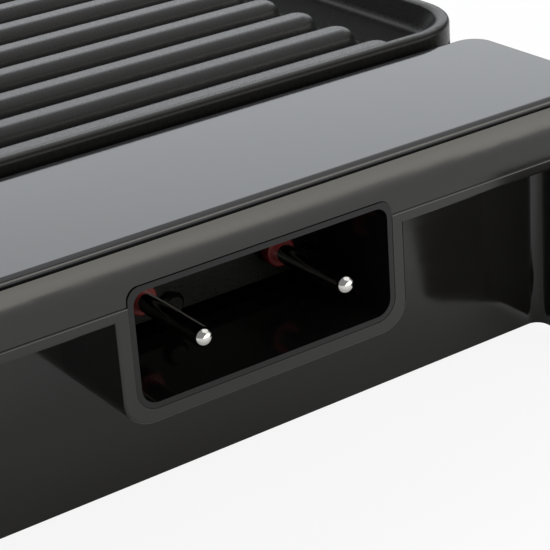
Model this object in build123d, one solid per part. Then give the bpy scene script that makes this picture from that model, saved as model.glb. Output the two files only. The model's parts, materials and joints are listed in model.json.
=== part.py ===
from build123d import *
import os

# Table-top electric grill: a ribbed cast plate that lifts off, over a tubular heating element in a
# steel pan that joins two moulded ends, with a drip tray that slides out sideways.
# X runs across the grill, Y along it and Z up from the table. The socket end is at -Y.
# All sizes are in millimetres.

# Overall sizes
WIDTH = 239.4            # across an end, at the lip
SHELF_DEPTH = 59.2       # outer face of an end to its edge beside the plate
SHELF_TOP = 86.0         # table to the top of the end shelves
PLATE_LENGTH = 355.0
PLATE_WIDTH = 247.0
PLATE_GAP = 1.3          # between the plate and an end shelf
RIM_TOP = 89.2           # table to the plate's rim
FOOT_HEIGHT = 2.6        # table to the underside of the mouldings

# Fits shared by all pieces
OVERRUN = 1.0            # how far a cut runs past the face that it opens
SEAT_CLEARANCE = 0.2     # between a lifted-off or sliding piece and its seat
FIT_CLEARANCE = 0.1      # between a fixed piece and its pocket, on each side
SHEET = 1.0              # sheet steel

# End mouldings
FRONT_CORNER = 14.0      # plan radius of the outer corners
BACK_CORNER = 9.0        # plan radius of the corners beside the plate
MOULDING_WALL = 2.6
FASCIA_WALL = 3.4        # at the lip, where the fascia is thickest
DECK_THICKNESS = 2.0
LIP_BOTTOM = 66.0        # underside of the fascia
LIP_HEIGHT = 3.2
LIP_PROUD = 0.5          # lip stands out from the band above it
LIP_ROUND = 0.9          # lower edge
LIP_TOP_ROUND = 0.4
BAND_MIDDLE_INSET = 0.8
BAND_TOP_INSET = 2.0
BAND_MIDDLE_SHARE = 0.52 # height of the band's middle section, as a share of the band
RECESS = 29.5            # finger space, lip to the wall behind it
RECESS_FILLET = 4.0
CHEEK = 3.2              # side walls that carry the overhanging shelf
RIB_THICKNESS = 1.8      # stiffening ribs under the deck
RIB_DROP = 6.0
RIB_COUNT = 9

# Top panel
PANEL_EDGE = 1.7         # thickness of the panel at its visible edge
PANEL_INSET = 1.4
PANEL_ROUND = 1.5
SEAM_GAP = 1.2           # dark line between the panel and the fascia
SEAM_DEPTH = 2.0
PEG_DIAMETER = 4.0
PEG_LENGTH = 6.0
PEG_SIDE = 35.7          # peg centre to the end's sides
PEG_EDGE = 14.0          # peg centre to the panel's long edges

# Socket
BEZEL_WIDTH = 87.0
BEZEL_BOTTOM = 36.7
BEZEL_CORNER = 8.0
BEZEL_ROUND = 0.7
SOCKET_WIDTH = 76.4      # clear width inside the liner
SOCKET_BOTTOM = 42.0
SOCKET_HEIGHT = 30.2
SOCKET_LOW_CORNER = 4.5
SOCKET_HIGH_CORNER = 3.5
LINER_WALL = 1.6
LINER_SETBACK = 0.1
SOCKET_ROOF = 2.0        # moulding above the liner

# Terminals
PIN_DIAMETER = 5.3
PIN_SPACING = 43.5
PIN_OFFSET = 2.0         # middle of the pins, to the right of the socket's middle
PIN_HEIGHT = 54.8
PIN_PROUD = 1.9          # pin tip in front of the bezel's face
SHANK_DIAMETER = 3.6
SHEATH_DIAMETER = 7.4
SEAL_DIAMETER = 8.6
SEAL_DEPTH = 28.0        # bezel's face to the front of the red seal
SEAL_LENGTH = 3.0
SEAL_ROUND = 0.5
BRACKET_REACH = 9.8      # bracket's end past the socket's side
BRACKET_BOTTOM = 46.5
BRACKET_TOP = 61.5
BRACKET_THICKNESS = 1.5
TERMINAL_SCREW_SHIFT = 10.5  # to the right of each pin
TERMINAL_SCREW_DROP = 5.7    # below the pins

# Heating element
ELEMENT_HEIGHT = 70.0
RUN_EDGE = 43.5          # plate's side to the middle of an outer run
RUN_INNER_SHARE = 0.34   # inner run's place, as a share of the outer run's
RISE_START_GAP = 10.0    # plate's end to the place where the element starts to rise
RISE_END_GAP = 44.0
LOOP_END_GAP = 20.0      # plate's end to the far loops
RETURN_GAP = 82.0        # plate's end to the loop in the middle
RISE_BEND = 20.0
LOOP_BEND_SHARE = 0.96   # bend radius, as a share of half the distance between two runs

# Steel pan
PAN_INSET = 7.5          # pan's side under the plate's side
PAN_BOTTOM = 49.0
PAN_SIDE_TOP = 72.5
PLATE_SEAT = 74.5        # top of the pan's end flanges
FLANGE_DEPTH = 14.0
TERMINAL_HOLE = 11.0
VENT_COUNT = 7
VENT_LENGTH = 26.0
VENT_HEIGHT = 5.0
VENT_PITCH = 44.0
VENT_TOP_MARGIN = 7.0
SUPPORT_NEAR_GAP = 115.5 # plate's socket end to the first support
SUPPORT_FAR_GAP = 99.5   # plate's far end to the second support
SUPPORT_FOOT = 16.0
SUPPORT_SHEET = 1.2
SUPPORT_END = 15.0       # end of a support past the outer run
SUPPORT_ABOVE = 0.8      # top of the supports above the element's centre
RIVET_DIAMETER = 3.0
RIVET_HEAD = 6.0
RIVET_HEAD_HEIGHT = 1.4
RIVET_PLACE_SHARE = 0.28 # rivet's place on a support's foot, as a share of the foot

# Grill plate
PLATE_CORNER = 24.0
RIM_WALL = 3.6
RIM_ROUND = 1.7
PLATE_BOTTOM = PLATE_SEAT + SEAT_CLEARANCE
FLOOR_TOP = 81.6
FLOOR_THICKNESS = 4.5
FLOOR_INSET = 9.0        # outer edge of the plate to the foot of the rim, inside
FLOOR_FILLET = 5.0
RIB_HEIGHT = 4.0
RIB_WIDTH = 10.6
RIB_TAPER = 20.0         # degrees
RIB_ROUND = 3.2
RIB_PITCH = 19.7
RIB_END_GAP = 18.0       # rib end to the foot of the rim
FIRST_RIB = 10.0         # plate's end to the middle of the first rib
CHANNEL_WIDTH = 15.0
CHANNEL_DROP = 5.6
CHANNEL_MARGIN = 8.0
GROOVE_CLEARANCE = 0.4   # plate to the element's sheath
DRAIN_LENGTH = 30.0
DRAIN_WIDTH = 6.5
SPOUT_WALL = 2.4
SPOUT_BOTTOM = 57.0
DRAIN_MARGIN = 2.5       # pan's opening around the spout
LUG_DIAMETER = 6.0
LUG_LENGTH = 3.0
LUG_EDGE = 39.5          # lug's middle to the plate's sides
LUG_CLEARANCE = 0.5
SEAT_WIDTH = 9.0         # ring under the plate that rests on the pan's flanges

# Drip tray and its runners
TRAY_INSET = 3.0         # tray's side under the pan's side
TRAY_TOP = 34.0
TRAY_DEPTH = 18.0
TRAY_RUNNER_GAP = 5.0    # tray's body to the runners
TRAY_DRAFT = 5.0         # how far the walls draw in towards the bottom
TRAY_CORNER = 14.0
TRAY_SHEET = 1.2
RUNNER_INSET = 2.7       # runner's end to the side of an end moulding
RUNNER_DEPTH = 13.0
RUNNER_DROP = 14.0       # web below the channel, where the screws go
CHANNEL_PLAY = 0.3       # tray flange to the runner, above and below
GRIP_WIDTH = 120.0
GRIP_REACH = 9.5
GRIP_FLANGE = 7.0        # tray's front flange inside the grip
GRIP_LIP = 5.0
GRIP_WALL = 2.6
GRIP_ROUND = 1.0
GRIP_RIVET_END = 16.0    # rivet to the grip's ends

# Bottom covers, feet and screws
COVER_THICKNESS = 2.0
COVER_RECESS = 2.4       # cover inside the moulding's lower edge, so that its screws are hidden
FOOT_DIAMETER = 17.0
FOOT_NECK = 7.8
FOOT_BARB = 10.0
FOOT_BARB_HEIGHT = 3.2
FOOT_SIDE = 22.7         # foot's middle to the end's sides
FOOT_ROUND = 0.8
SCREW_DIAMETER = 3.6
SCREW_HEAD = 7.0
SCREW_HEAD_HEIGHT = 2.2
SCREW_LENGTH = 11.0
BOSS_DIAMETER = 9.0
FASCIA_SCREW_SIDE = 13.7 # outer screws to the end's sides
FASCIA_SCREW_SPACING = 48.0
COVER_SCREW_SIDE = 41.7
PAN_SCREW_SIDE = 46.0    # screw to the pan's sides
PAN_SCREW_HEIGHT = 61.0
RUNNER_SCREW_END = 33.0  # screw to the runner's ends
BRACKET_SCREW_END = 5.5  # screw to the bracket's ends

# Places worked out from the sizes above
SHELF_BACK = PLATE_LENGTH / 2 + PLATE_GAP        # distance of a shelf's inner edge from the middle
FRONT = SHELF_BACK + SHELF_DEPTH                 # distance of an end's outer face from the middle
BAND_BOTTOM = LIP_BOTTOM + LIP_HEIGHT
PANEL_SEAT = SHELF_TOP - PANEL_EDGE - SEAM_GAP   # top of the fascia's deck
DECK_BOTTOM = PANEL_SEAT - DECK_THICKNESS
BASE_DECK_BOTTOM = LIP_BOTTOM - MOULDING_WALL
BOX_DEPTH = SHELF_DEPTH - RECESS                 # depth of the closed part of an end
BOX_MIDDLE = RECESS + BOX_DEPTH / 2              # its middle, from the outer face
SOCKET_TOP = SOCKET_BOTTOM + SOCKET_HEIGHT
COVER_BOTTOM = FOOT_HEIGHT + COVER_RECESS
COVER_TOP = COVER_BOTTOM + COVER_THICKNESS
SCREW_HOLE = SCREW_DIAMETER + 2 * FIT_CLEARANCE
FLOOR_BOTTOM = FLOOR_TOP - FLOOR_THICKNESS
DRAIN_X = PLATE_WIDTH / 2 - FLOOR_INSET - RIB_END_GAP / 2   # middle of a side gutter
PAN_END = SHELF_BACK - SEAT_CLEARANCE            # outer face of the pan's end walls
PAN_WIDTH = PLATE_WIDTH - 2 * PAN_INSET
TRAY_WIDTH = PAN_WIDTH - 2 * TRAY_INSET
RUNNER_LENGTH = WIDTH - 2 * RUNNER_INSET
RUNNER_TOP = TRAY_TOP + CHANNEL_PLAY + SHEET
RUNNER_FLOOR = TRAY_TOP - TRAY_SHEET - CHANNEL_PLAY
RUNNER_BOTTOM = RUNNER_FLOOR - SHEET - RUNNER_DROP
RUNNER_SCREW_HEIGHT = RUNNER_BOTTOM + RUNNER_DROP / 2
GRIP_RIVET_X = TRAY_WIDTH / 2 + GRIP_FLANGE / 2
RIVET_HOLE = RIVET_DIAMETER + 2 * FIT_CLEARANCE
RIVET_SHIFT = RIVET_PLACE_SHARE * SUPPORT_FOOT   # rivet from the support's web
BRACKET_DEPTH = RECESS + MOULDING_WALL           # inner face of the recessed wall
TERMINAL_SCREW_HEIGHT = PIN_HEIGHT - TERMINAL_SCREW_DROP
TRAY_BODY_HALF = PAN_END - RUNNER_DEPTH - TRAY_RUNNER_GAP    # half length of the tray's body
PIN_PLACES = (PIN_OFFSET - PIN_SPACING / 2, PIN_OFFSET + PIN_SPACING / 2)
PEG_X = WIDTH / 2 - PEG_SIDE
FOOT_X = WIDTH / 2 - FOOT_SIDE
COVER_SCREW_X = WIDTH / 2 - COVER_SCREW_SIDE
BRACKET_WIDTH = SOCKET_WIDTH + 2 * BRACKET_REACH
BRACKET_SCREW_X = BRACKET_WIDTH / 2 - BRACKET_SCREW_END
RUN_OUTER = PLATE_WIDTH / 2 - RUN_EDGE
RUN_INNER = RUN_INNER_SHARE * RUN_OUTER
RIVET_X = (RUN_OUTER + RUN_INNER) / 2
SUPPORT_LENGTH = 2 * (RUN_OUTER + SUPPORT_END)
SUPPORT_PLACES = (SUPPORT_NEAR_GAP - PLATE_LENGTH / 2, PLATE_LENGTH / 2 - SUPPORT_FAR_GAP)
LUG_X = PLATE_WIDTH / 2 - LUG_EDGE
PAN_SCREW_X = PAN_WIDTH / 2 - PAN_SCREW_SIDE
RUNNER_SCREW_X = RUNNER_LENGTH / 2 - RUNNER_SCREW_END
GRIP_RIVET_Y = GRIP_WIDTH / 2 - GRIP_RIVET_END


def end_y(depth):
    """Y of a point of the socket end, depth in from its outer face."""
    return -FRONT + depth


def far(shape):
    """The same shape at the far end."""
    return Rot(0, 0, 180) * shape


def block(x0, x1, y0, y1, z0, z1):
    """A box between two corners."""
    return Pos((x0 + x1) / 2, (y0 + y1) / 2, (z0 + z1) / 2) * Box(x1 - x0, y1 - y0, z1 - z0)


def rod_y(x, z, y0, y1, diameter):
    """A round bar along Y."""
    return Pos(x, (y0 + y1) / 2, z) * Rot(90, 0, 0) * Cylinder(diameter / 2, y1 - y0)


def rod_z(x, y, z0, z1, diameter):
    """A round bar along Z."""
    return Pos(x, y, (z0 + z1) / 2) * Cylinder(diameter / 2, z1 - z0)


def both_sides(x):
    """A place and its mirror image across the grill."""
    return (-x, x)


def screw_y(x, seat, z, way, length):
    """A pan-head screw along Y, with its head on the plane y = seat. Its shank runs the given way."""
    shank = sorted((seat, seat + way * length))
    head = sorted((seat, seat - way * SCREW_HEAD_HEIGHT))
    body = rod_y(x, z, *shank, SCREW_DIAMETER) + rod_y(x, z, *head, SCREW_HEAD)
    rim = body.edges().filter_by(GeomType.CIRCLE).sort_by(Axis.Y)
    return chamfer(rim[0 if way > 0 else -1], SCREW_HEAD_HEIGHT / 2)


def screw_up(x, y, seat):
    """A pan-head screw that is driven upwards. Its head hangs below the plane z = seat."""
    body = rod_z(x, y, seat, seat + SCREW_LENGTH, SCREW_DIAMETER)
    body += rod_z(x, y, seat - SCREW_HEAD_HEIGHT, seat, SCREW_HEAD)
    return chamfer(body.edges().filter_by(GeomType.CIRCLE).sort_by(Axis.Z)[0], SCREW_HEAD_HEIGHT / 2)


def end_outline(inset, z):
    """Plan outline of an end shelf, drawn in by inset, at height z."""
    outline = Rectangle(WIDTH - 2 * inset, SHELF_DEPTH - 2 * inset)
    outline = fillet(outline.vertices().group_by(Axis.Y)[0], FRONT_CORNER - inset)
    outline = fillet(outline.vertices().group_by(Axis.Y)[-1], BACK_CORNER - inset)
    return Pos(0, end_y(SHELF_DEPTH / 2), z) * outline


def end_slab(inset, z0, z1):
    """A plate of the end shelf's outline."""
    return extrude(end_outline(inset, z0), z1 - z0)


def socket_profile(grow, top, depth):
    """Front outline of the socket, larger than its clear opening by grow, on a plane at that depth."""
    bottom = SOCKET_BOTTOM - grow
    outline = Pos(0, (bottom + top) / 2) * Rectangle(SOCKET_WIDTH + 2 * grow, top - bottom)
    outline = fillet(outline.vertices().group_by(Axis.Y)[0], SOCKET_LOW_CORNER + grow)
    outline = fillet(outline.vertices().group_by(Axis.Y)[-1], SOCKET_HIGH_CORNER)
    return Plane((0, end_y(depth), 0), x_dir=(1, 0, 0), z_dir=(0, -1, 0)) * outline


def along_y(outline, length):
    """Extrudes an upright outline towards +Y."""
    return extrude(outline, length, dir=(0, 1, 0))


# End mouldings

def fascia_boss_places():
    """Where screws join the fascia to the base, from below."""
    y = end_y(BOX_MIDDLE)
    outer = WIDTH / 2 - FASCIA_SCREW_SIDE
    return [(x, y) for place in (outer, outer - FASCIA_SCREW_SPACING) for x in both_sides(place)]


def peg_places():
    """Where the top panel's pegs go into the fascia's deck."""
    depths = (PEG_EDGE, SHELF_DEPTH - PEG_EDGE)
    return [(side, end_y(depth)) for side in both_sides(PEG_X) for depth in depths]


def fascia_shell():
    """Deck, convex band and lip, hollow from below, with ribs and screw bosses."""
    middle = BAND_BOTTOM + BAND_MIDDLE_SHARE * (PANEL_SEAT - BAND_BOTTOM)
    band = loft([
        end_outline(LIP_PROUD, BAND_BOTTOM),
        end_outline(BAND_MIDDLE_INSET, middle),
        end_outline(BAND_TOP_INSET, PANEL_SEAT),
    ])
    lip = end_slab(0, LIP_BOTTOM, BAND_BOTTOM)
    lip = fillet(lip.edges().group_by(Axis.Z)[0], LIP_ROUND)
    lip = fillet(lip.edges().group_by(Axis.Z)[-1], LIP_TOP_ROUND)
    shell = band + lip - end_slab(FASCIA_WALL, LIP_BOTTOM - OVERRUN, DECK_BOTTOM)
    pitch = WIDTH / (RIB_COUNT + 1)
    for place in range(1, RIB_COUNT + 1):
        x = -WIDTH / 2 + place * pitch
        shell += block(
            x - RIB_THICKNESS / 2, x + RIB_THICKNESS / 2, end_y(FASCIA_WALL / 2), end_y(RECESS),
            DECK_BOTTOM - RIB_DROP, DECK_BOTTOM)
    for x, y in fascia_boss_places():
        shell += rod_z(x, y, LIP_BOTTOM, DECK_BOTTOM, BOSS_DIAMETER)
        shell -= rod_z(x, y, LIP_BOTTOM - OVERRUN, DECK_BOTTOM, SCREW_HOLE)
    for x, y in peg_places():
        shell -= rod_z(x, y, DECK_BOTTOM - OVERRUN, PANEL_SEAT + OVERRUN, PEG_DIAMETER + 2 * FIT_CLEARANCE)
    return shell


def socket_tunnel():
    """The boss around the socket: a bezel flush with the lip, running back to the recessed wall."""
    top = BAND_BOTTOM - LIP_TOP_ROUND
    outline = Pos(0, (BEZEL_BOTTOM + top) / 2) * Rectangle(BEZEL_WIDTH, top - BEZEL_BOTTOM)
    outline = fillet(outline.vertices().group_by(Axis.Y)[0], BEZEL_CORNER)
    outline = Plane((0, end_y(0), 0), x_dir=(1, 0, 0), z_dir=(0, -1, 0)) * outline
    boss = along_y(outline, RECESS)
    front = boss.faces().sort_by(Axis.Y)[0]
    rounded = front.edges().filter_by(lambda edge: edge.center().Z < top - FIT_CLEARANCE)
    boss = fillet(rounded, BEZEL_ROUND)
    roof_top = SOCKET_TOP + LINER_WALL + SOCKET_ROOF
    half = BEZEL_WIDTH / 2
    return boss + block(-half, half, end_y(FASCIA_WALL / 2), end_y(RECESS), LIP_BOTTOM, roof_top)


def socket_end_frame():
    """Fascia of the socket end, with the socket's boss."""
    opening = socket_profile(LINER_WALL, SOCKET_TOP + LINER_WALL, -OVERRUN)
    return fascia_shell() + socket_tunnel() - along_y(opening, RECESS + 2 * OVERRUN)


def socket_liner():
    """Sleeve that lines the socket, a little behind the bezel's face."""
    outer = LINER_WALL - FIT_CLEARANCE
    length = RECESS - LINER_SETBACK
    sleeve = along_y(socket_profile(outer, SOCKET_TOP + outer, LINER_SETBACK), length)
    return sleeve - along_y(socket_profile(0, SOCKET_TOP, -OVERRUN), RECESS + 2 * OVERRUN)


def top_panel():
    """Glossy panel of an end shelf, held by pegs, with a shadow line under its edge."""
    panel = end_slab(PANEL_INSET, SHELF_TOP - PANEL_EDGE, SHELF_TOP)
    panel = fillet(panel.edges().group_by(Axis.Z)[-1], PANEL_ROUND)
    panel += end_slab(PANEL_INSET + SEAM_DEPTH, PANEL_SEAT, SHELF_TOP - PANEL_EDGE)
    for x, y in peg_places():
        panel += rod_z(x, y, PANEL_SEAT - PEG_LENGTH, PANEL_SEAT, PEG_DIAMETER)
    return panel


def cover_screw_places():
    """Where screws hold the bottom cover."""
    return [(side, end_y(BOX_MIDDLE)) for side in both_sides(COVER_SCREW_X)]


def base_hollow(clearance, z0, z1):
    """The inside of an end's closed part, drawn in by clearance."""
    inset = MOULDING_WALL + clearance
    hollow = end_slab(inset, z0, z1)
    keep_from = end_y(RECESS + inset)
    return hollow & block(-WIDTH, WIDTH, keep_from, keep_from + SHELF_DEPTH, z0, z1)


def inner_wall():
    """Start and end of a cut through the wall beside the pan."""
    return end_y(SHELF_DEPTH - MOULDING_WALL - OVERRUN), end_y(SHELF_DEPTH + OVERRUN)


def end_base():
    """Lower moulding: recessed wall between two cheeks, closed at the top, open below."""
    base = end_slab(0, FOOT_HEIGHT, LIP_BOTTOM)
    space_width = WIDTH - 2 * CHEEK
    space = Pos(0, end_y(RECESS / 2 - OVERRUN)) * Rectangle(space_width, RECESS + 2 * OVERRUN)
    space = fillet(space.vertices().group_by(Axis.Y)[-1], RECESS_FILLET)
    base -= extrude(Pos(0, 0, FOOT_HEIGHT - OVERRUN) * space, LIP_BOTTOM)
    base -= base_hollow(0, FOOT_HEIGHT - OVERRUN, BASE_DECK_BOTTOM)
    for x, y in cover_screw_places():
        base += rod_z(x, y, COVER_TOP, BASE_DECK_BOTTOM, BOSS_DIAMETER)
        base += block(
            x - RIB_THICKNESS / 2, x + RIB_THICKNESS / 2, end_y(RECESS + MOULDING_WALL / 2),
            end_y(SHELF_DEPTH - MOULDING_WALL / 2), PAN_BOTTOM, BASE_DECK_BOTTOM)
        base -= rod_z(x, y, COVER_BOTTOM, COVER_TOP + SCREW_LENGTH, SCREW_HOLE)
    for x, y in fascia_boss_places():
        base -= rod_z(x, y, BASE_DECK_BOTTOM - OVERRUN, LIP_BOTTOM + OVERRUN, SCREW_HOLE)
    for x in both_sides(PAN_SCREW_X):
        base -= rod_y(x, PAN_SCREW_HEIGHT, *inner_wall(), SCREW_HOLE)
    for x in both_sides(RUNNER_SCREW_X):
        base -= rod_y(x, RUNNER_SCREW_HEIGHT, *inner_wall(), SCREW_HOLE)
    return base


def socket_end_base():
    """Lower moulding of the socket end, with the window and holes for the terminals."""
    base = end_base()
    half = SOCKET_WIDTH / 2
    recessed_wall = end_y(RECESS - OVERRUN), end_y(BRACKET_DEPTH + OVERRUN)
    base -= block(-half, half, *recessed_wall, SOCKET_BOTTOM, BASE_DECK_BOTTOM)
    for x in both_sides(BRACKET_SCREW_X):
        base -= rod_y(x, PIN_HEIGHT, *recessed_wall, SCREW_HOLE)
    for x in PIN_PLACES:
        base -= rod_y(x, PIN_HEIGHT, *inner_wall(), TERMINAL_HOLE)
    return base


def bottom_cover():
    """Plate that closes an end from below and carries its feet."""
    cover = base_hollow(FIT_CLEARANCE, COVER_BOTTOM, COVER_TOP)
    through = COVER_BOTTOM - OVERRUN, COVER_TOP + OVERRUN
    for x, y in cover_screw_places():
        cover -= rod_z(x, y, *through, SCREW_HOLE)
    for x in both_sides(FOOT_X):
        cover -= rod_z(x, end_y(BOX_MIDDLE), *through, FOOT_NECK + 2 * FIT_CLEARANCE)
    return cover


def foot(x):
    """Push-in rubber foot at the socket end."""
    y = end_y(BOX_MIDDLE)
    pad = rod_z(x, y, 0, COVER_BOTTOM, FOOT_DIAMETER)
    pad = fillet(pad.edges().group_by(Axis.Z)[0], FOOT_ROUND)
    barb = rod_z(x, y, COVER_TOP, COVER_TOP + FOOT_BARB_HEIGHT, FOOT_BARB)
    barb = chamfer(barb.edges().group_by(Axis.Z)[-1], FOOT_BARB_HEIGHT / 2)
    return pad + rod_z(x, y, 0, COVER_TOP + FOOT_BARB_HEIGHT / 2, FOOT_NECK) + barb


def fascia_screws():
    """Screws that join the fascia to the base, driven up through the base's deck."""
    return [screw_up(x, y, BASE_DECK_BOTTOM) for x, y in fascia_boss_places()]


def cover_screws():
    """Screws that hold the bottom cover."""
    return [screw_up(x, y, COVER_BOTTOM) for x, y in cover_screw_places()]


# Terminals

def terminal_pin(x):
    """Round contact pin with a domed tip, standing in the socket."""
    dome = end_y(PIN_DIAMETER / 2 - PIN_PROUD)
    pin = rod_y(x, PIN_HEIGHT, dome, end_y(SEAL_DEPTH), PIN_DIAMETER)
    pin += Pos(x, dome, PIN_HEIGHT) * Sphere(PIN_DIAMETER / 2)
    return pin + rod_y(x, PIN_HEIGHT, end_y(SEAL_DEPTH), end_y(SEAL_DEPTH + SEAL_LENGTH), SHANK_DIAMETER)


def pin_seal(x):
    """Red seal that closes the element's sheath around the pin."""
    back = end_y(SEAL_DEPTH + SEAL_LENGTH)
    seal = rod_y(x, PIN_HEIGHT, end_y(SEAL_DEPTH), back, SEAL_DIAMETER)
    seal = fillet(seal.edges().filter_by(GeomType.CIRCLE).sort_by(Axis.Y)[0], SEAL_ROUND)
    hole = SHANK_DIAMETER + 2 * FIT_CLEARANCE
    return seal - rod_y(x, PIN_HEIGHT, end_y(SEAL_DEPTH - OVERRUN), back + OVERRUN, hole)


def terminal_bracket():
    """Steel strip behind the socket's window that holds both ends of the element."""
    half = BRACKET_WIDTH / 2
    front, back = end_y(BRACKET_DEPTH), end_y(BRACKET_DEPTH + BRACKET_THICKNESS)
    through = front - OVERRUN, back + OVERRUN
    bracket = block(-half, half, front, back, BRACKET_BOTTOM, BRACKET_TOP)
    for x in PIN_PLACES:
        bracket -= rod_y(x, PIN_HEIGHT, *through, SHEATH_DIAMETER + 2 * FIT_CLEARANCE)
        bracket -= rod_y(x + TERMINAL_SCREW_SHIFT, TERMINAL_SCREW_HEIGHT, *through, SCREW_HOLE)
    for x in both_sides(BRACKET_SCREW_X):
        bracket -= rod_y(x, PIN_HEIGHT, *through, SCREW_HOLE)
    return bracket


def bracket_screws():
    """Screws that hold the terminal bracket to the recessed wall, from inside."""
    seat = end_y(BRACKET_DEPTH + BRACKET_THICKNESS)
    length = BRACKET_THICKNESS + MOULDING_WALL
    return [screw_y(x, seat, PIN_HEIGHT, -1, length) for x in both_sides(BRACKET_SCREW_X)]


def terminal_screws():
    """Screws beside the pins that show at the back of the socket."""
    return [
        screw_y(x + TERMINAL_SCREW_SHIFT, end_y(BRACKET_DEPTH), TERMINAL_SCREW_HEIGHT, 1, SCREW_LENGTH)
        for x in PIN_PLACES
    ]


# Heating element and pan

def element_half(terminal, side):
    """Corners of the element's route on one side, from its end at the socket to the middle."""
    near_end, far_end = -PLATE_LENGTH / 2, PLATE_LENGTH / 2
    return [
        (terminal, end_y(SEAL_DEPTH + SEAL_LENGTH), PIN_HEIGHT),
        (terminal, near_end + RISE_START_GAP, PIN_HEIGHT),
        (side * RUN_OUTER, near_end + RISE_END_GAP, ELEMENT_HEIGHT),
        (side * RUN_OUTER, far_end - LOOP_END_GAP, ELEMENT_HEIGHT),
        (side * RUN_INNER, far_end - LOOP_END_GAP, ELEMENT_HEIGHT),
        (side * RUN_INNER, near_end + RETURN_GAP, ELEMENT_HEIGHT),
    ]


def heating_element():
    """Bent tubular element: two ends at the socket, four long runs under the plate."""
    left, right = element_half(PIN_PLACES[0], -1), element_half(PIN_PLACES[1], 1)
    loop_bend = LOOP_BEND_SHARE * (RUN_OUTER - RUN_INNER) / 2
    return_bend = LOOP_BEND_SHARE * RUN_INNER
    bends = [RISE_BEND, RISE_BEND, loop_bend, loop_bend, return_bend]
    path = FilletPolyline(*left, *right[::-1], radius=bends + bends[::-1])
    section = Plane(path @ 0, z_dir=path % 0) * Circle(SHEATH_DIAMETER / 2)
    return sweep(section, path=path)


def drain_openings(grow, z0, z1):
    """Slots over the drains in the side gutters, larger than them by grow all round."""
    slot = Rot(0, 0, 90) * SlotOverall(DRAIN_LENGTH + 2 * grow, DRAIN_WIDTH + 2 * grow)
    return [extrude(Pos(x, 0, z0) * slot, z1 - z0) for x in both_sides(DRAIN_X)]


def lug_places():
    """Where the plate's lugs drop into the pan's flanges."""
    y = PLATE_LENGTH / 2 - SEAT_WIDTH / 2
    return [(x, side) for x in both_sides(LUG_X) for side in both_sides(y)]


def chassis_pan():
    """Steel pan that joins both ends: low vented sides, high ends with flanges for the plate."""
    half = PAN_WIDTH / 2
    pan = block(-half, half, -PAN_END, PAN_END, PAN_BOTTOM, PLATE_SEAT)
    inner_half, inner_end = half - SHEET, PAN_END - SHEET
    flange_edge = PAN_END - FLANGE_DEPTH
    flange_bottom = PLATE_SEAT - SHEET
    floor_cut = PAN_BOTTOM - OVERRUN, PAN_BOTTOM + SHEET + OVERRUN
    pan -= block(-inner_half, inner_half, -inner_end, inner_end, PAN_BOTTOM + SHEET, flange_bottom)
    pan -= block(-half, half, -flange_edge, flange_edge, flange_bottom, PLATE_SEAT)
    pan -= block(
        -half - OVERRUN, half + OVERRUN, -inner_end, inner_end, PAN_SIDE_TOP, flange_bottom)
    vent_top = PAN_SIDE_TOP - VENT_TOP_MARGIN
    for place in range(VENT_COUNT):
        y = (place - (VENT_COUNT - 1) / 2) * VENT_PITCH
        pan -= block(
            -half - OVERRUN, half + OVERRUN, y - VENT_LENGTH / 2, y + VENT_LENGTH / 2,
            vent_top - VENT_HEIGHT, vent_top)
    for x in PIN_PLACES:
        pan -= rod_y(x, PIN_HEIGHT, -PAN_END - OVERRUN, -inner_end + OVERRUN, TERMINAL_HOLE)
    for x in both_sides(PAN_SCREW_X):
        pan -= rod_y(x, PAN_SCREW_HEIGHT, -PAN_END - OVERRUN, PAN_END + OVERRUN, SCREW_HOLE)
    for x, y in lug_places():
        pan -= rod_z(x, y, flange_bottom - OVERRUN, PLATE_SEAT + OVERRUN, LUG_DIAMETER + 2 * LUG_CLEARANCE)
    for x, y in rivet_places():
        pan -= rod_z(x, y, *floor_cut, RIVET_HOLE)
    return pan - drain_openings(SPOUT_WALL + DRAIN_MARGIN, *floor_cut)


def element_support(y):
    """Steel bracket on the pan's floor, notched for the four runs of the element."""
    half, foot_half, web_half = SUPPORT_LENGTH / 2, SUPPORT_FOOT / 2, SUPPORT_SHEET / 2
    floor = PAN_BOTTOM + SHEET
    top = ELEMENT_HEIGHT + SUPPORT_ABOVE
    notch = SHEATH_DIAMETER + 2 * FIT_CLEARANCE
    support = block(-half, half, y - web_half, y + web_half, floor, top)
    support += block(-half, half, y - foot_half, y + foot_half, floor, floor + SUPPORT_SHEET)
    for run in (RUN_OUTER, RUN_INNER):
        for x in both_sides(run):
            support -= rod_y(x, ELEMENT_HEIGHT, y - foot_half, y + foot_half, notch)
            support -= block(
                x - notch / 2, x + notch / 2, y - foot_half, y + foot_half,
                ELEMENT_HEIGHT, top + OVERRUN)
    for x in both_sides(RIVET_X):
        support -= rod_z(
            x, y + RIVET_SHIFT, floor - OVERRUN, floor + SUPPORT_SHEET + OVERRUN, RIVET_HOLE)
    return support


def rivet_places():
    """Where rivets hold the element's supports to the pan."""
    return [(x, y + RIVET_SHIFT) for y in SUPPORT_PLACES for x in both_sides(RIVET_X)]


def rivet(x, y, z0, z1):
    """A rivet that clamps what lies between two heights."""
    body = rod_z(x, y, z0, z1, RIVET_DIAMETER)
    head = rod_z(x, y, z1, z1 + RIVET_HEAD_HEIGHT, RIVET_HEAD)
    head = chamfer(head.edges().group_by(Axis.Z)[-1], RIVET_HEAD_HEIGHT / 2)
    tail = rod_z(x, y, z0 - RIVET_HEAD_HEIGHT, z0, RIVET_HEAD)
    return body + head + chamfer(tail.edges().group_by(Axis.Z)[0], RIVET_HEAD_HEIGHT / 2)


def support_rivets():
    """Rivets of both supports."""
    top = PAN_BOTTOM + SHEET + SUPPORT_SHEET
    return [rivet(x, y, PAN_BOTTOM, top) for x, y in rivet_places()]


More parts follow.
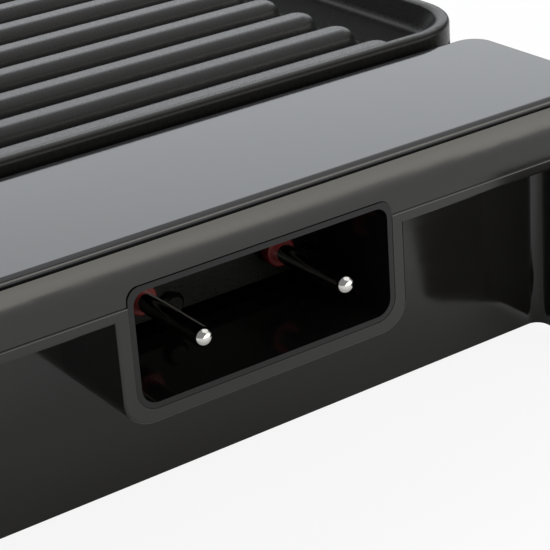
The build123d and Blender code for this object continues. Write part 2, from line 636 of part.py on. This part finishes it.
def wall_screws(x, height):
    """Screws from the pan's or a runner's end wall into the end mouldings, at both ends."""
    seat = -PAN_END + SHEET
    socket_end = [screw_y(side, seat, height, -1, SCREW_LENGTH) for side in both_sides(x)]
    return socket_end + [far(screw) for screw in socket_end]


# Grill plate

def plate_outline(inset, z):
    """Plan outline of the plate, drawn in by inset, at height z."""
    corner = PLATE_CORNER - inset
    return Pos(0, 0, z) * RectangleRounded(PLATE_WIDTH - 2 * inset, PLATE_LENGTH - 2 * inset, corner)


def plate_dish():
    """The plate's outside, hollowed from above to the foot of the rim."""
    dish = extrude(plate_outline(0, PLATE_BOTTOM), RIM_TOP - PLATE_BOTTOM)
    hollow = loft([plate_outline(FLOOR_INSET, FLOOR_TOP), plate_outline(RIM_WALL, RIM_TOP)])
    hollow = fillet(hollow.edges().group_by(Axis.Z)[0], FLOOR_FILLET)
    dish -= hollow
    return fillet(dish.edges().group_by(Axis.Z)[-1], RIM_ROUND)


def plate_ribs():
    """Rounded cooking ribs across the plate, standing clear of the rim on all sides."""
    length = PLATE_WIDTH - 2 * (FLOOR_INSET + RIB_END_GAP)
    span = PLATE_LENGTH - 2 * FIRST_RIB
    count = 1 + round(span / RIB_PITCH)
    profile = SlotOverall(length, RIB_WIDTH)
    rib = extrude(profile, RIB_HEIGHT, taper=RIB_TAPER)
    rib = fillet(rib.edges().group_by(Axis.Z)[-1], RIB_ROUND)
    return [Pos(0, (place - (count - 1) / 2) * RIB_PITCH, FLOOR_TOP) * rib for place in range(count)]


def plate_channels():
    """Strips under the plate, grooved to lie over the element's runs."""
    bottom = FLOOR_BOTTOM - CHANNEL_DROP
    near = -PLATE_LENGTH / 2 + RETURN_GAP + RUN_INNER + CHANNEL_MARGIN
    distant = PLATE_LENGTH / 2 - LOOP_END_GAP - (RUN_OUTER - RUN_INNER) / 2 - CHANNEL_MARGIN
    strips = []
    for run in (RUN_OUTER, RUN_INNER):
        for x in both_sides(run):
            strip = block(x - CHANNEL_WIDTH / 2, x + CHANNEL_WIDTH / 2, near, distant, bottom, FLOOR_BOTTOM)
            groove = SHEATH_DIAMETER + 2 * GROOVE_CLEARANCE
            strips.append(strip - rod_y(x, ELEMENT_HEIGHT, near - OVERRUN, distant + OVERRUN, groove))
    return strips


def grill_plate():
    """Cast plate: rim, ribs, drains with their spouts, and seats for the element and the pan."""
    under_bottom = PLATE_BOTTOM - OVERRUN
    under = extrude(plate_outline(SEAT_WIDTH, under_bottom), FLOOR_BOTTOM - under_bottom)
    plate = plate_dish() + plate_ribs() - under + plate_channels()
    for x, y in lug_places():
        plate += rod_z(x, y, PLATE_BOTTOM - LUG_LENGTH, PLATE_BOTTOM, LUG_DIAMETER)
    plate += drain_openings(SPOUT_WALL, SPOUT_BOTTOM, FLOOR_BOTTOM)
    return plate - drain_openings(0, SPOUT_BOTTOM - OVERRUN, RIM_TOP)


# Drip tray

def tray_runner():
    """Steel channel on the socket end that the tray's flange slides in, closed at the left as a stop."""
    half = RUNNER_LENGTH / 2
    wall, edge = -PAN_END, -PAN_END + RUNNER_DEPTH
    runner = block(-half, half, wall, wall + SHEET, RUNNER_BOTTOM, RUNNER_TOP)
    runner += block(-half, half, wall, edge, RUNNER_FLOOR - SHEET, RUNNER_FLOOR)
    runner += block(-half, half, wall, edge, RUNNER_TOP - SHEET, RUNNER_TOP)
    runner += block(-half, -half + SHEET, wall, edge, RUNNER_FLOOR - SHEET, RUNNER_TOP)
    for x in both_sides(RUNNER_SCREW_X):
        runner -= rod_y(x, RUNNER_SCREW_HEIGHT, wall - OVERRUN, wall + SHEET + OVERRUN, SCREW_HOLE)
    return runner


def tray_form(inset, bottom):
    """Tapered form of the tray's outside, or of its inside when drawn in by the sheet."""
    width, length = TRAY_WIDTH - 2 * inset, 2 * (TRAY_BODY_HALF - inset)
    top = RectangleRounded(width, length, TRAY_CORNER - inset)
    low = RectangleRounded(width - 2 * TRAY_DRAFT, length - 2 * TRAY_DRAFT, TRAY_CORNER - inset)
    return loft([Pos(0, 0, bottom) * low, Pos(0, 0, TRAY_TOP) * top])


def drip_tray():
    """Pressed tray with flanges that ride in the runners and one for the grip."""
    flange_half = PAN_END - SHEET - CHANNEL_PLAY
    left, right = -TRAY_WIDTH / 2, TRAY_WIDTH / 2
    grip_half = GRIP_WIDTH / 2 - GRIP_WALL
    tray = tray_form(0, TRAY_TOP - TRAY_DEPTH)
    tray += block(left, right, -flange_half, flange_half, TRAY_TOP - TRAY_SHEET, TRAY_TOP)
    tray += block(
        right - TRAY_CORNER, right + GRIP_FLANGE, -grip_half, grip_half, TRAY_TOP - TRAY_SHEET, TRAY_TOP)
    tray -= tray_form(TRAY_SHEET, TRAY_TOP - TRAY_DEPTH + TRAY_SHEET)
    for y in both_sides(GRIP_RIVET_Y):
        tray -= rod_z(GRIP_RIVET_X, y, TRAY_TOP - TRAY_SHEET - OVERRUN, TRAY_TOP + OVERRUN, RIVET_HOLE)
    return tray


def tray_grip():
    """Moulded pull that wraps the tray's front flange, with a groove below for the fingertips."""
    back, front = TRAY_WIDTH / 2 + FIT_CLEARANCE, TRAY_WIDTH / 2 + GRIP_REACH
    low, high = TRAY_TOP - TRAY_SHEET - GRIP_WALL, TRAY_TOP + GRIP_WALL
    half = GRIP_WIDTH / 2
    grip = block(back, front, -half, half, low, high)
    grip += block(front - GRIP_WALL, front, -half, half, low - GRIP_LIP, low)
    ends = grip.edges().filter_by(Axis.Z).filter_by(lambda edge: edge.center().X > front - GRIP_ROUND)
    grip = fillet(ends, GRIP_ROUND)
    slot_end = TRAY_WIDTH / 2 + GRIP_FLANGE + FIT_CLEARANCE
    slot_half = half - GRIP_WALL + FIT_CLEARANCE
    grip -= block(
        back - OVERRUN, slot_end, -slot_half, slot_half,
        TRAY_TOP - TRAY_SHEET - FIT_CLEARANCE, TRAY_TOP + FIT_CLEARANCE)
    for y in both_sides(GRIP_RIVET_Y):
        grip -= rod_z(GRIP_RIVET_X, y, low - OVERRUN, high + OVERRUN, RIVET_HOLE)
    return grip


def grip_rivets():
    """Rivets through the grip and the tray's front flange."""
    low, high = TRAY_TOP - TRAY_SHEET - GRIP_WALL, TRAY_TOP + GRIP_WALL
    return [rivet(GRIP_RIVET_X, y, low, high) for y in both_sides(GRIP_RIVET_Y)]


def build_nodes():
    """Every piece of the grill by its name. A list is a group of separate solids."""
    runner = tray_runner()
    nodes = {
        "socket_end_frame": socket_end_frame(),
        "socket_liner": socket_liner(),
        "socket_end_base": socket_end_base(),
        "far_end_frame": far(fascia_shell()),
        "far_end_base": far(end_base()),
        "terminal_bracket": terminal_bracket(),
        "bracket_screws": bracket_screws(),
        "terminal_screws": terminal_screws(),
        "heating_element": heating_element(),
        "chassis_pan": chassis_pan(),
        "support_rivets": support_rivets(),
        "pan_screws": wall_screws(PAN_SCREW_X, PAN_SCREW_HEIGHT),
        "runner_screws": wall_screws(RUNNER_SCREW_X, RUNNER_SCREW_HEIGHT),
        "grill_plate": grill_plate(),
        "drip_tray": drip_tray(),
        "tray_grip": tray_grip(),
        "grip_rivets": grip_rivets(),
        "socket_tray_runner": runner,
        "far_tray_runner": mirror(runner, about=Plane.XZ),
    }
    at_both_ends = {
        "top_panel": top_panel(),
        "bottom_cover": bottom_cover(),
        "left_foot": foot(-FOOT_X),
        "right_foot": foot(FOOT_X),
    }
    for name, shape in at_both_ends.items():
        nodes["socket_" + name] = shape
        nodes["far_" + name] = far(shape)
    for name, screws in {"fascia_screws": fascia_screws(), "cover_screws": cover_screws()}.items():
        nodes["socket_" + name] = screws
        nodes["far_" + name] = [far(screw) for screw in screws]
    for side, x in zip(("left", "right"), PIN_PLACES):
        nodes["terminal_pin_" + side] = terminal_pin(x)
        nodes["pin_seal_" + side] = pin_seal(x)
    for place, y in zip(("front", "rear"), SUPPORT_PLACES):
        nodes["element_support_" + place] = element_support(y)
    return nodes


os.makedirs("parts", exist_ok=True)
for name, shape in build_nodes().items():
    solid = Compound(shape) if isinstance(shape, list) else shape
    export_step(solid, "parts/" + name + ".step")
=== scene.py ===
import json
import math

import bpy
from mathutils import Matrix, Vector


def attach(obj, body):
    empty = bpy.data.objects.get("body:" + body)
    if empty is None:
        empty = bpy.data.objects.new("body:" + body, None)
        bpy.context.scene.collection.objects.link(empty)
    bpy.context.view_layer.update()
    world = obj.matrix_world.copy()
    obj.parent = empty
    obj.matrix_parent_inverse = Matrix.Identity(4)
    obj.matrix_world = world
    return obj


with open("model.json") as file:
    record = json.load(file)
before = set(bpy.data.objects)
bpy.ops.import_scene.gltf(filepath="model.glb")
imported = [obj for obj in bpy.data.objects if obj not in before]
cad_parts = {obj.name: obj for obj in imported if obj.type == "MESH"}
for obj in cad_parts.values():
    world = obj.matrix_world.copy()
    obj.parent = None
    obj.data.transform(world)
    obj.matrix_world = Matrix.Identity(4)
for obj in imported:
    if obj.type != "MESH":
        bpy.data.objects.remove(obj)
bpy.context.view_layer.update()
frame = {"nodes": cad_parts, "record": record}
nodes = frame["nodes"]
scene = bpy.context.scene
scene.view_settings.view_transform = "Standard"

MM = 0.001

# Sockets of a Mix node that mixes colours
MIX_SHARE, MIX_FIRST, MIX_SECOND = 0, 6, 7
MIX_RESULT = 2


# Finishes. Patterns follow the shared frame, in millimetres.

PLASTIC_IOR = 1.5
RUBBER_IOR = 1.45
RUBBER_SHINE = 0.4

# Of the plate, with heights above the table
RIBS_RUBBED_AND_LIT = (82.5, 84.6)   # where the ribs turn smooth and lighter: a painted highlight on their tops
RIM_RUBBED_AND_LIT = (81.9, 82.6)    # where the rim's foot turns smooth; from there up the plate is painted lighter, a painted highlight
RIM_EDGE_HIGHLIGHT_FROM = (88.5, 89.0)     # where the rim's edge turns pale, a painted highlight
# Painted highlight: lighter tones for the upper parts of the ribs and of the plate
RIB_PAINTED_HIGHLIGHT_TONE = (0.016, 0.0158, 0.0148)
PLATE_PAINTED_HIGHLIGHT_TONE = (0.0105, 0.0104, 0.0097)
RIM_EDGE_HIGHLIGHT_TONE = (0.05, 0.0495, 0.047)
VALLEY_TONES = ((0.004, 0.004, 0.0036), (0.007, 0.0069, 0.0062))
FLECK_TONE = (0.05, 0.049, 0.045)
FLECK_SHARE = 0.2
BLACK = (0.0, 0.0, 0.0)


class Paint:
    """A material with one Principled shader and a few pattern helpers."""

    def __init__(self, name, **values):
        self.material = bpy.data.materials.new(name)
        self.material.use_nodes = True
        self.tree = self.material.node_tree
        self.shader = self.tree.nodes["Principled BSDF"]
        for socket, value in values.items():
            self.shader.inputs[socket.replace("_", " ")].default_value = value
        place = self.tree.nodes.new("ShaderNodeTexCoord")
        self.place = place.outputs["Object"]
        self.relief = None

    def link(self, source, target):
        self.tree.links.new(source, target)

    def node(self, kind, **inputs):
        made = self.tree.nodes.new(kind)
        for socket, value in inputs.items():
            made.inputs[socket.replace("_", " ")].default_value = value
        return made

    def grid(self, stretch=(1, 1, 1)):
        """Coordinates in millimetres, squeezed along each axis by stretch."""
        mapping = self.node("ShaderNodeMapping", Scale=[share / MM for share in stretch])
        self.link(self.place, mapping.inputs["Vector"])
        return mapping.outputs["Vector"]

    def noise(self, size, stretch=(1, 1, 1), detail=3.0, roughness=0.55):
        """Cloudy pattern whose features are about size millimetres across."""
        made = self.node("ShaderNodeTexNoise", Scale=1 / size, Detail=detail, Roughness=roughness)
        self.link(self.grid(stretch), made.inputs["Vector"])
        return made.outputs["Fac"]

    def specks(self, size):
        """Distance to the nearest of many scattered points."""
        made = self.node("ShaderNodeTexVoronoi", Scale=1 / size)
        self.link(self.grid(), made.inputs["Vector"])
        return made.outputs["Distance"]

    def ramp(self, value, *stops):
        """A colour or a grey level for each position of a value."""
        made = self.tree.nodes.new("ShaderNodeValToRGB")
        points = made.color_ramp.elements
        for point, (position, colour) in zip(points, stops, strict=True):
            point.position = position
            tone = colour if isinstance(colour, tuple) else (colour,) * 3
            point.color = (*tone, 1)
        self.link(value, made.inputs["Fac"])
        return made.outputs["Color"]

    def spread(self, value, low, high, start=0.3, end=0.7):
        """Maps the range of a value from start to end to the range from low to high."""
        made = self.node(
            "ShaderNodeMapRange", From_Min=start, From_Max=end, To_Min=low, To_Max=high)
        self.link(value, made.inputs["Value"])
        return made.outputs["Result"]

    def mix(self, share, first, second):
        """Two colours mixed by a pattern or a number."""
        made = self.tree.nodes.new("ShaderNodeMix")
        made.data_type = "RGBA"
        for value, socket in ((share, MIX_SHARE), (first, MIX_FIRST), (second, MIX_SECOND)):
            if isinstance(value, float):
                made.inputs[socket].default_value = value
            elif isinstance(value, tuple):
                made.inputs[socket].default_value = (*value, 1)
            else:
                self.link(value, made.inputs[socket])
        return made.outputs[MIX_RESULT]

    def height(self, start, end):
        """0 below a height above the table and 1 above another, in millimetres."""
        split = self.tree.nodes.new("ShaderNodeSeparateXYZ")
        self.link(self.place, split.inputs[0])
        return self.spread(split.outputs["Z"], 0, 1, start * MM, end * MM)

    def colour(self, value):
        self.link(value, self.shader.inputs["Base Color"])

    def rough(self, value):
        self.link(value, self.shader.inputs["Roughness"])

    def bump(self, value, depth):
        """Adds relief to what is there, depth in millimetres."""
        made = self.node("ShaderNodeBump", Strength=1.0, Distance=depth * MM)
        self.link(value, made.inputs["Height"])
        if self.relief is not None:
            self.link(self.relief, made.inputs["Normal"])
        self.relief = made.outputs["Normal"]
        self.link(self.relief, self.shader.inputs["Normal"])


def shade(tone, share):
    """A tone made darker or lighter."""
    return tuple(share * part for part in tone)


def moulded(name, tone, rough, streak, shine=0.5):
    """Polished moulding: faint flow marks along it, a little haze and dust-fine relief."""
    paint = Paint(name, IOR=PLASTIC_IOR, Specular_IOR_Level=shine)
    flow = paint.noise(size=9, stretch=(0.06, 1, 1), detail=4)
    cloud = paint.noise(size=38, detail=2)
    clouded = paint.ramp(cloud, (0.3, shade(tone, 0.82)), (0.7, tone))
    paint.colour(paint.mix(flow, clouded, shade(tone, 1.2)))
    paint.rough(paint.spread(flow, low=rough * 0.75, high=rough * 1.35))
    paint.bump(flow, depth=streak)
    paint.bump(paint.noise(size=0.6, detail=2), depth=0.0016)
    return paint.material


def plated(name, tone, rough, grain, lines=(1, 1, 1)):
    """Metal with drawn lines and a slightly uneven tone."""
    paint = Paint(name, Metallic=1.0)
    drawn = paint.noise(size=grain, stretch=lines, detail=5, roughness=0.65)
    cloud = paint.noise(size=14, detail=2)
    lined = paint.ramp(drawn, (0.25, shade(tone, 0.72)), (0.75, tone))
    paint.colour(paint.mix(cloud, lined, tone))
    paint.rough(paint.spread(drawn, low=rough * 0.7, high=rough * 1.4))
    paint.bump(drawn, depth=0.004)
    return paint.material


def cast_plate(name, shine, painted_highlight_tone, rubbed_and_lit):
    """Dark non-stick coating: matt and grainy low down; smooth above, where the colour is also
    painted lighter as a painted highlight; a painted highlight on the rim's edge.
    """
    paint = Paint(name, IOR=PLASTIC_IOR, Specular_IOR_Level=shine)
    peel = paint.noise(size=1.1, detail=3)
    cloud = paint.noise(size=26, detail=3)
    # Mask for the smooth upper parts, which also carry the painted highlight colour
    rubbed_and_lit_tops = paint.height(*rubbed_and_lit)
    valley = paint.ramp(cloud, (0.3, VALLEY_TONES[0]), (0.75, VALLEY_TONES[1]))
    # Painted highlight: the upper parts take a lighter tone than the valleys
    tone = paint.mix(rubbed_and_lit_tops, valley, painted_highlight_tone)
    # Painted highlight: a pale band along the rim's top edge
    tone = paint.mix(paint.height(*RIM_EDGE_HIGHLIGHT_FROM), tone, RIM_EDGE_HIGHLIGHT_TONE)
    fleck = paint.ramp(paint.specks(size=1.4), (0.0, 1.0), (0.16, 0.0))
    paint.colour(paint.mix(paint.mix(FLECK_SHARE, BLACK, fleck), tone, FLECK_TONE))
    matt = paint.ramp(peel, (0.3, 0.84), (0.7, 1.0))
    smooth = paint.ramp(peel, (0.3, 0.24), (0.7, 0.34))
    paint.rough(paint.mix(rubbed_and_lit_tops, matt, smooth))
    paint.bump(peel, depth=0.007)
    return paint.material


def rubber(name, tone, rough):
    """Soft rubber: matt, with a fine grain and small pale scuffs."""
    paint = Paint(name, IOR=RUBBER_IOR, Specular_IOR_Level=RUBBER_SHINE)
    grain = paint.noise(size=0.7, detail=3)
    scuff = paint.noise(size=7, detail=4)
    paint.colour(paint.ramp(scuff, (0.35, tone), (0.8, shade(tone, 1.45))))
    paint.rough(paint.spread(grain, low=rough * 0.85, high=rough * 1.15))
    paint.bump(grain, depth=0.02)
    return paint.material


finishes = {
    "gloss_black": moulded(
        "gloss_moulding", tone=(0.0074, 0.0071, 0.006), rough=0.11, streak=0.03, shine=0.6),
    "panel_black": moulded(
        "polished_panel", tone=(0.021, 0.0215, 0.023), rough=0.07, streak=0.002),
    "liner_black": moulded(
        "socket_moulding", tone=(0.005, 0.005, 0.0047), rough=0.1, streak=0.004, shine=0.4),
    "cover_black": moulded(
        "grained_moulding", tone=(0.022, 0.022, 0.021), rough=0.42, streak=0.02),
    "foot_rubber": rubber("foot_rubber", tone=(0.024, 0.024, 0.023), rough=0.62),
    "nickel": plated("nickel", tone=(0.80, 0.78, 0.74), rough=0.07, grain=0.35, lines=(1, 0.05, 1)),
    # The seals' red is kept dark as a painted shade: they sit in shadow inside the socket
    "seal_red": rubber("silicone", tone=(0.1, 0.006, 0.006), rough=0.42),
    "zinc": plated("zinc", tone=(0.46, 0.46, 0.45), rough=0.34, grain=0.5, lines=(0.06, 1, 1)),
    "dark_steel": plated("blackened_steel", tone=(0.022, 0.022, 0.021), rough=0.3, grain=0.4),
    "pan_steel": plated(
        "sheet_steel", tone=(0.58, 0.58, 0.575), rough=0.3, grain=0.5, lines=(1, 0.04, 1)),
    "sheath": plated("heat_darkened_steel", tone=(0.16, 0.15, 0.135), rough=0.42, grain=0.6),
    # The plate is painted lighter from the rim's foot up, a painted highlight
    "non_stick": cast_plate("non_stick", shine=0.12, painted_highlight_tone=PLATE_PAINTED_HIGHLIGHT_TONE, rubbed_and_lit=RIM_RUBBED_AND_LIT),
    "tray_sheet": plated(
        "pressed_sheet", tone=(0.66, 0.66, 0.65), rough=0.32, grain=0.5, lines=(0.04, 1, 1)),
}
for entry in frame["record"]["subparts"]:
    shown = nodes[entry["node"]]
    shown.data.materials.clear()
    shown.data.materials.append(finishes[entry["material_slot"]])


# Rib crowns: the plate's cast ribs as the photograph shows them, over the solid's lower and
# narrower ones. In millimetres, from the plate's middle.

RIB_COUNT = 18
RIB_PITCH = 19.7
RIB_LENGTH = 194.4
RIB_HALF_WIDTH = 6.5
RIB_HEIGHT = 5.5
RIB_FLOOR = 81.6             # the plate's floor, above the table
RIB_LEAN = math.radians(18)  # of the flanks
CROWN_ROUND = 3.8
FOOT_ROUND = 1.5
FOOT_DEPTH = 0.3             # the crown's hidden skirt, inside the plate's floor
ROUND_STEPS = 6
END_STEPS = 14
FLAT_FACE = 0.999            # upright share of a normal from which a face is shaded flat


def rib_section():
    """A rib's outline from its foot to its crown: distance in from its side, and height."""
    foot_in = FOOT_ROUND * (math.tan(RIB_LEAN) - 1 / math.cos(RIB_LEAN))
    crown_up = RIB_HEIGHT - CROWN_ROUND
    crown_in = crown_up * math.tan(RIB_LEAN) + CROWN_ROUND / math.cos(RIB_LEAN)
    sweep = math.pi / 2 - RIB_LEAN
    outline = [(foot_in, -FOOT_DEPTH)]
    for step in range(ROUND_STEPS + 1):
        angle = sweep * step / ROUND_STEPS - math.pi / 2
        outline.append((
            foot_in + FOOT_ROUND * math.cos(angle), FOOT_ROUND + FOOT_ROUND * math.sin(angle)))
    for step in range(ROUND_STEPS + 1):
        angle = math.pi - RIB_LEAN - sweep * step / ROUND_STEPS
        outline.append((
            crown_in + CROWN_ROUND * math.cos(angle), crown_up + CROWN_ROUND * math.sin(angle)))
    return outline


def rib_ring(middle, inset, height):
    """Points round a strip with half-round ends, in metres."""
    radius = RIB_HALF_WIDTH - inset
    straight = RIB_LENGTH / 2 - RIB_HALF_WIDTH
    ring = []
    for side in (1, -1):
        for step in range(END_STEPS + 1):
            turn = math.pi * step / END_STEPS - math.pi / 2
            x = side * (straight + radius * math.cos(turn))
            y = middle + side * radius * math.sin(turn)
            ring.append((x * MM, y * MM, (RIB_FLOOR + height) * MM))
    return ring


points, faces = [], []
for place in range(RIB_COUNT):
    middle = (place - (RIB_COUNT - 1) / 2) * RIB_PITCH
    rings = [rib_ring(middle, inset, height) for inset, height in rib_section()]
    around, first = len(rings[0]), len(points)
    for tier, ring in enumerate(rings):
        points += ring
        low = first + tier * around
        if tier + 1 < len(rings):
            for spot in range(around):
                beside = (spot + 1) % around
                faces.append((
                    low + spot, low + beside, low + around + beside, low + around + spot))
    faces.append(tuple(range(low, low + around)))
    faces.append(tuple(reversed(range(first, first + around))))
crown_mesh = bpy.data.meshes.new("rib_crowns")
crown_mesh.from_pydata(points, [], faces)
for face in crown_mesh.polygons:
    face.use_smooth = abs(face.normal.z) < FLAT_FACE
# The crowns' finish paints their tops lighter, a painted highlight
crown_mesh.materials.append(
    cast_plate("rubbed_and_lit_non_stick", shine=0.29, painted_highlight_tone=RIB_PAINTED_HIGHLIGHT_TONE, rubbed_and_lit=RIBS_RUBBED_AND_LIT))
crowns = bpy.data.objects.new("rib_crowns", crown_mesh)
scene.collection.objects.link(crowns)
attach(crowns, "grill_plate")


# Camera, as measured from the photograph's straight edges

AZIMUTH, ELEVATION, ROLL = (math.radians(angle) for angle in (33.794, 24.787, -4.048))
EYE = Vector((-0.2396, -0.5997, 0.2653))
FOCAL_PIXELS, PICTURE_PIXELS = 1937.3, 550
SENSOR = 36.0
NEAREST = 0.01

look = Vector((
    math.sin(AZIMUTH) * math.cos(ELEVATION),
    math.cos(AZIMUTH) * math.cos(ELEVATION),
    -math.sin(ELEVATION)))
level = Vector((math.cos(AZIMUTH), -math.sin(AZIMUTH), 0))
rise = level.cross(look)
across = math.cos(ROLL) * level + math.sin(ROLL) * rise
upward = -math.sin(ROLL) * level + math.cos(ROLL) * rise
lens = bpy.data.cameras.new("camera")
lens.sensor_width = SENSOR
lens.lens = SENSOR * FOCAL_PIXELS / PICTURE_PIXELS
lens.clip_start = NEAREST
camera = bpy.data.objects.new("camera", lens)
camera.matrix_world = Matrix((
    (across.x, upward.x, -look.x, EYE.x),
    (across.y, upward.y, -look.y, EYE.y),
    (across.z, upward.z, -look.z, EYE.z),
    (0, 0, 0, 1)))
scene.collection.objects.link(camera)
scene.camera = camera


# Studio: pale floor, dim surround, a black card on the floor and soft lamps

SURROUND = (0.22, 0.225, 0.235)
FLOOR_TONE = 0.9
FLOOR_HALF = 8.0
WHITE_SHARE = 0.9          # how far floor and surround turn white where seen directly
MIRRORED_SHARE = 0.15      # the floor in reflections, where its light and shadow count for more
SKY_MIRRORED_SHARE = 0.04  # the surround in reflections
CARD_TONE = 0.004
CARD_LIFT = 0.001
CARD_OUTLINE = [
    (0.19, -0.37), (0.6, -0.37), (0.6, -0.215), (0.13, -0.215),
    (0.1105, -0.2362), (0.1048, -0.2424), (0.1042, -0.2475)]


def strongest(tree, *levels):
    """The largest of several grey levels."""
    result = levels[0]
    for level in levels[1:]:
        larger = tree.nodes.new("ShaderNodeMath")
        larger.operation = "MAXIMUM"
        tree.links.new(result, larger.inputs[0])
        tree.links.new(level, larger.inputs[1])
        result = larger.outputs[0]
    return result


def scaled(tree, level, share):
    """A grey level times a share."""
    product = tree.nodes.new("ShaderNodeMath")
    product.operation = "MULTIPLY"
    product.inputs[1].default_value = share
    tree.links.new(level, product.inputs[0])
    return product.outputs[0]


def whiteness(tree, direct, mirrored):
    """How far a surface turns plain white: seen directly or through glass, and in reflections."""
    path = tree.nodes.new("ShaderNodeLightPath")
    return strongest(
        tree,
        scaled(tree, path.outputs["Is Camera Ray"], direct),
        scaled(tree, path.outputs["Is Transmission Ray"], direct),
        scaled(tree, path.outputs["Is Glossy Ray"], mirrored))


def sheet(name, corners, material):
    """A flat piece of the studio."""
    mesh = bpy.data.meshes.new(name)
    mesh.from_pydata(corners, [], [range(len(corners))])
    mesh.materials.append(material)
    made = bpy.data.objects.new(name, mesh)
    scene.collection.objects.link(made)
    return made


world = bpy.data.worlds.new("studio")
scene.world = world
world.use_nodes = True
tree = world.node_tree
sky = tree.nodes.new("ShaderNodeMix")
sky.data_type = "RGBA"
sky.inputs[MIX_FIRST].default_value = (*SURROUND, 1)
sky.inputs[MIX_SECOND].default_value = (1, 1, 1, 1)
tree.links.new(whiteness(tree, WHITE_SHARE, SKY_MIRRORED_SHARE), sky.inputs[MIX_SHARE])
tree.links.new(sky.outputs[MIX_RESULT], tree.nodes["Background"].inputs["Color"])

pale = bpy.data.materials.new("pale_floor")
pale.use_nodes = True
tree = pale.node_tree
tree.nodes.remove(tree.nodes["Principled BSDF"])
matt = tree.nodes.new("ShaderNodeBsdfDiffuse")
matt.inputs["Color"].default_value = (FLOOR_TONE, FLOOR_TONE, FLOOR_TONE, 1)
glow = tree.nodes.new("ShaderNodeEmission")
blend = tree.nodes.new("ShaderNodeMixShader")
tree.links.new(whiteness(tree, WHITE_SHARE, MIRRORED_SHARE), blend.inputs[0])
tree.links.new(matt.outputs[0], blend.inputs[1])
tree.links.new(glow.outputs[0], blend.inputs[2])
tree.links.new(blend.outputs[0], tree.nodes["Material Output"].inputs["Surface"])
floor = sheet("floor", [
    (-FLOOR_HALF, -FLOOR_HALF, 0), (FLOOR_HALF, -FLOOR_HALF, 0),
    (FLOOR_HALF, FLOOR_HALF, 0), (-FLOOR_HALF, FLOOR_HALF, 0)], pale)

# The card is seen only in reflections, where it puts a dark patch into the glossy wall right of the
# socket: a painted reflection of shade.
black = bpy.data.materials.new("black_card")
black.use_nodes = True
card = black.node_tree.nodes["Principled BSDF"]
card.inputs["Base Color"].default_value = (CARD_TONE, CARD_TONE, CARD_TONE, 1)
card.inputs["Roughness"].default_value = 1.0
flag = sheet("dark_flag", [(x, y, CARD_LIFT) for x, y in CARD_OUTLINE], black)
flag.visible_camera = flag.visible_diffuse = False
flag.visible_shadow = flag.visible_transmission = False


def softbox(name, place, aim, width, height, level, tint=(1, 1, 1)):
    """A soft lamp whose surface has the given brightness, where 1 is white."""
    lamp = bpy.data.lights.new(name, "AREA")
    lamp.shape = "RECTANGLE"
    lamp.size, lamp.size_y = width, height
    lamp.energy = level * math.pi * width * height
    lamp.color = tint
    holder = bpy.data.objects.new(name, lamp)
    holder.location = place
    holder.rotation_euler = (Vector(aim) - Vector(place)).to_track_quat("-Z", "Y").to_euler()
    scene.collection.objects.link(holder)


softbox("back_softbox", place=(1.0, 1.35, 1.0), aim=(0, 0, 0.05),
        width=2.4, height=1.3, level=1.6, tint=(0.93, 0.965, 1.0))
softbox("key_softbox", place=(-0.1, 0.85, 1.6), aim=(0, 0, 0.05),
        width=1.2, height=1.2, level=3.4)
softbox("top_softbox", place=(0.8, -0.45, 1.35), aim=(0, -0.15, 0.07),
        width=2.0, height=1.6, level=0.8)
softbox("front_softbox", place=(0.85, -1.35, 0.4), aim=(0, -0.1, 0.08),
        width=1.8, height=0.6, level=1.4, tint=(1.0, 0.98, 0.92))
softbox("low_reflector", place=(0.42, -0.9, 0.13), aim=(0.25, -0.45, 0.9),
        width=1.3, height=0.9, level=2.2, tint=(1.0, 0.98, 0.88))
